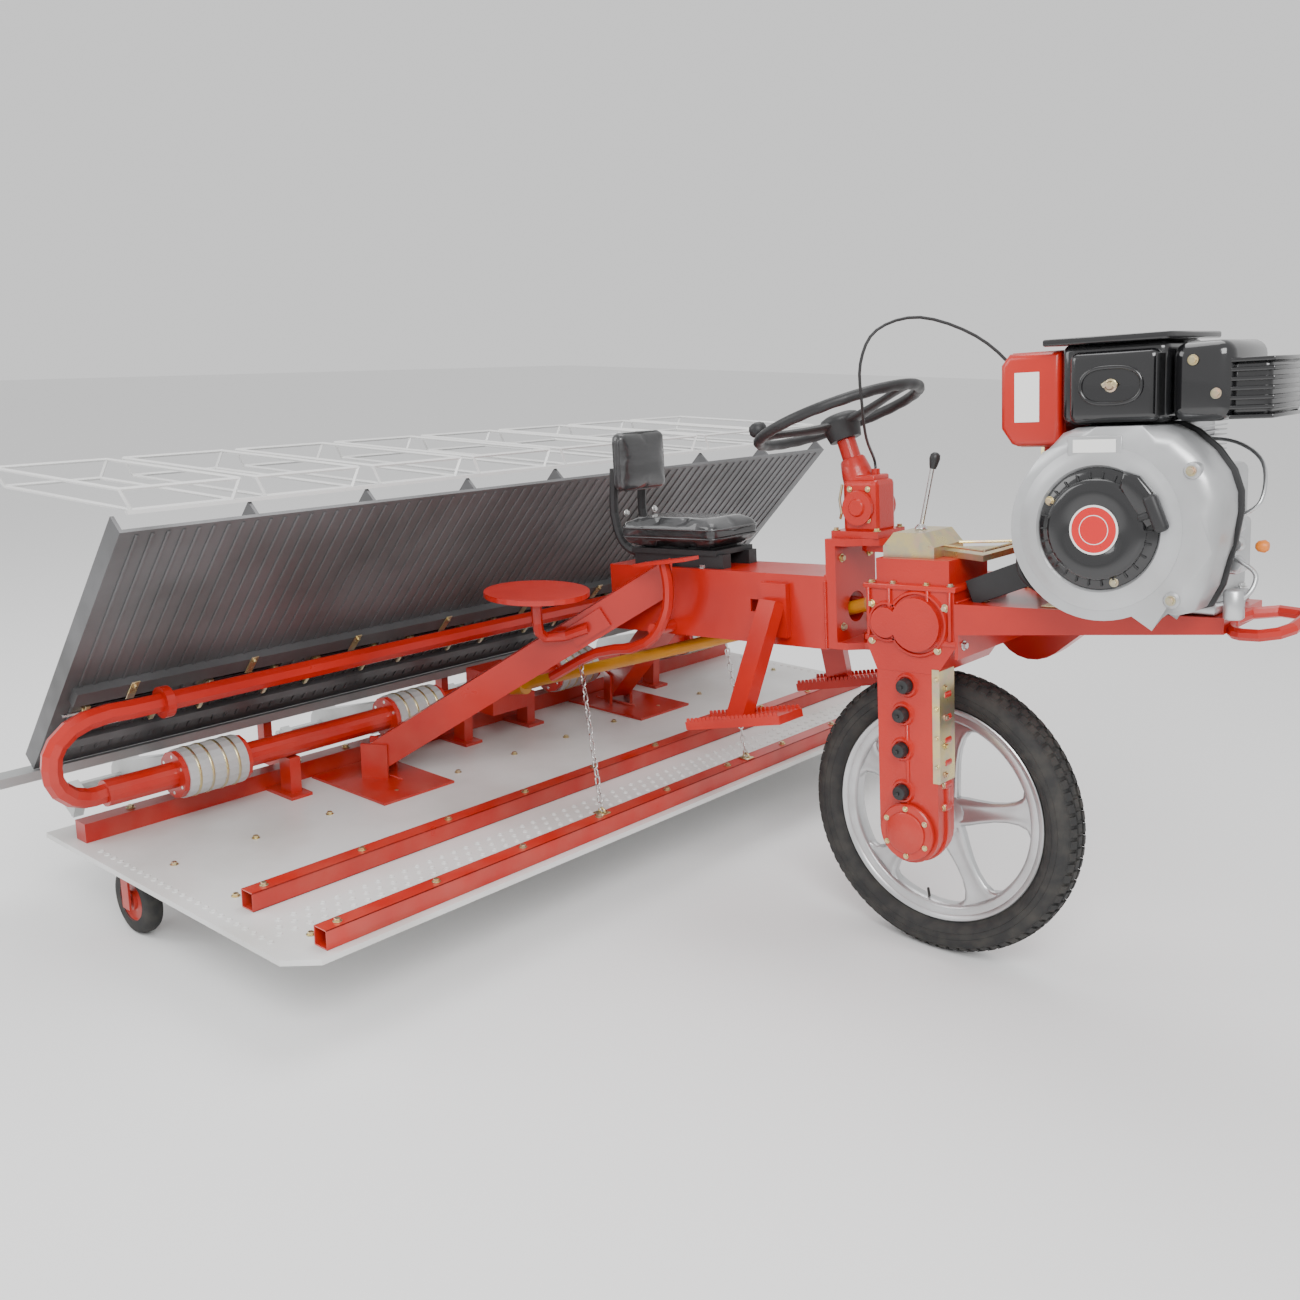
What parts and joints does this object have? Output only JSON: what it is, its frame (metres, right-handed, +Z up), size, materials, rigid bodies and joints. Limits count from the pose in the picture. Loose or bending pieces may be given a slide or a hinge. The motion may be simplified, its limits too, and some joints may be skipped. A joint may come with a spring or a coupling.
{
  "type": "rice transplanter",
  "caption": "Riding rice transplanter: a driven steering wheel under a small engine, a seat on a beam, and a float board that carries a sloping seedling tray and planting cases.",
  "frame": {"origin": "centre of the bounding box at ground level", "axes": "+X towards the engine at the front, +Y to the left, +Z up"},
  "size_m": [2.5278, 2.74, 1.3379],
  "materials": {
    "red_paint": "semi-gloss enamel",
    "planter_paint": "silver enamel on castings",
    "silver_casting": "satin casting",
    "zinc_plate": "yellow zinc plate",
    "tyre_rubber": "matt rubber",
    "wheel_rubber": "matt rubber",
    "black_plastic": "matt",
    "black_paint": "satin enamel",
    "black_vinyl": "grained vinyl under clear film",
    "board_sheet": "white gloss with anti-slip dimples",
    "tray_steel": "ribbed grey sheet",
    "white_wire": "white coated wire",
    "chain_steel": "bright links",
    "orange_paint": "orange enamel"
  },
  "bodies": {
    "frame": {"base_beam": "red_paint", "cross_tube": "red_paint", "drive_box": "red_paint", "drive_shaft": "orange_paint", "float_board": "board_sheet", "front_rail": "red_paint", "left_base_plate": "red_paint", "left_chain": "chain_steel", "left_footrest": "red_paint", "left_helper_seat": "red_paint", "left_leg": "red_paint", "left_wheel_fork": "red_paint", "lift_lever": "red_paint", "main_beam": "red_paint", "planting_case_1": "planter_paint", "planting_case_2": "planter_paint", "planting_case_3": "planter_paint", "planting_case_4": "planter_paint", "right_base_plate": "red_paint", "right_chain": "chain_steel", "right_footrest": "red_paint", "right_helper_seat": "red_paint", "right_leg": "red_paint", "right_wheel_fork": "red_paint", "seat_back": "black_vinyl", "seat_cushion": "black_vinyl", "seat_frame": "black_paint", "second_rail": "red_paint", "slide_rail": "silver_casting", "steering_box": "red_paint", "steering_bracket": "red_paint", "tray_support_tube": "red_paint"},
    "power_unit": {"leg_case": "red_paint", "front_axle": "zinc_plate", "gearbox": "red_paint", "shift_cover": "zinc_plate", "gear_lever": "black_paint", "pivot_yoke": "red_paint", "engine_platform": "red_paint", "engine_block": "silver_casting", "engine_shroud": "silver_casting", "recoil_cover": "black_plastic", "fuel_tank": "red_paint", "air_cleaner": "black_plastic", "muffler": "black_paint", "belt_guard": "red_paint", "throttle_cable": "black_plastic"},
    "front_wheel": {"front_tyre": "tyre_rubber", "front_rim": "silver_casting"},
    "hand_wheel_body": {"hand_wheel": "black_plastic"},
    "right_support_wheel_body": {"right_support_wheel": "wheel_rubber"},
    "left_support_wheel_body": {"left_support_wheel": "wheel_rubber"},
    "tray_body": {"seedling_tray": "tray_steel", "spare_mat_racks": "white_wire"}
  },
  "joints": [
    {"name": "steering", "type": "hinge", "parent": "frame", "child": "power_unit", "pos_m": [0.40121, 0, 0.74684], "axis": [-0.0785, 0, 0.9969], "range_deg": [-40, 40]},
    {"name": "front_wheel_spin", "type": "hinge", "parent": "power_unit", "child": "front_wheel", "pos_m": [0.58606, 0, 0.31], "axis": [0, 1, 0], "continuous": true},
    {"name": "hand_wheel_turn", "type": "hinge", "parent": "frame", "child": "hand_wheel_body", "pos_m": [0.28101, 0, 1.13099], "axis": [-0.4067, 0, 0.9135], "range_deg": [-220, 220]},
    {"name": "right_support_wheel_spin", "type": "hinge", "parent": "frame", "child": "right_support_wheel_body", "pos_m": [-0.77194, -1.125, 0.078], "axis": [0, 1, 0], "continuous": true},
    {"name": "left_support_wheel_spin", "type": "hinge", "parent": "frame", "child": "left_support_wheel_body", "pos_m": [-0.77194, 1.125, 0.078], "axis": [0, 1, 0], "continuous": true},
    {"name": "tray_slide", "type": "slide", "parent": "frame", "child": "tray_body", "axis": [0, 1, 0], "range_m": [-0.14, 0.14]}
  ],
  "couplings": [
    {"joint": "hand_wheel_turn", "follows": "steering", "ratio": 5.4}
  ]
}
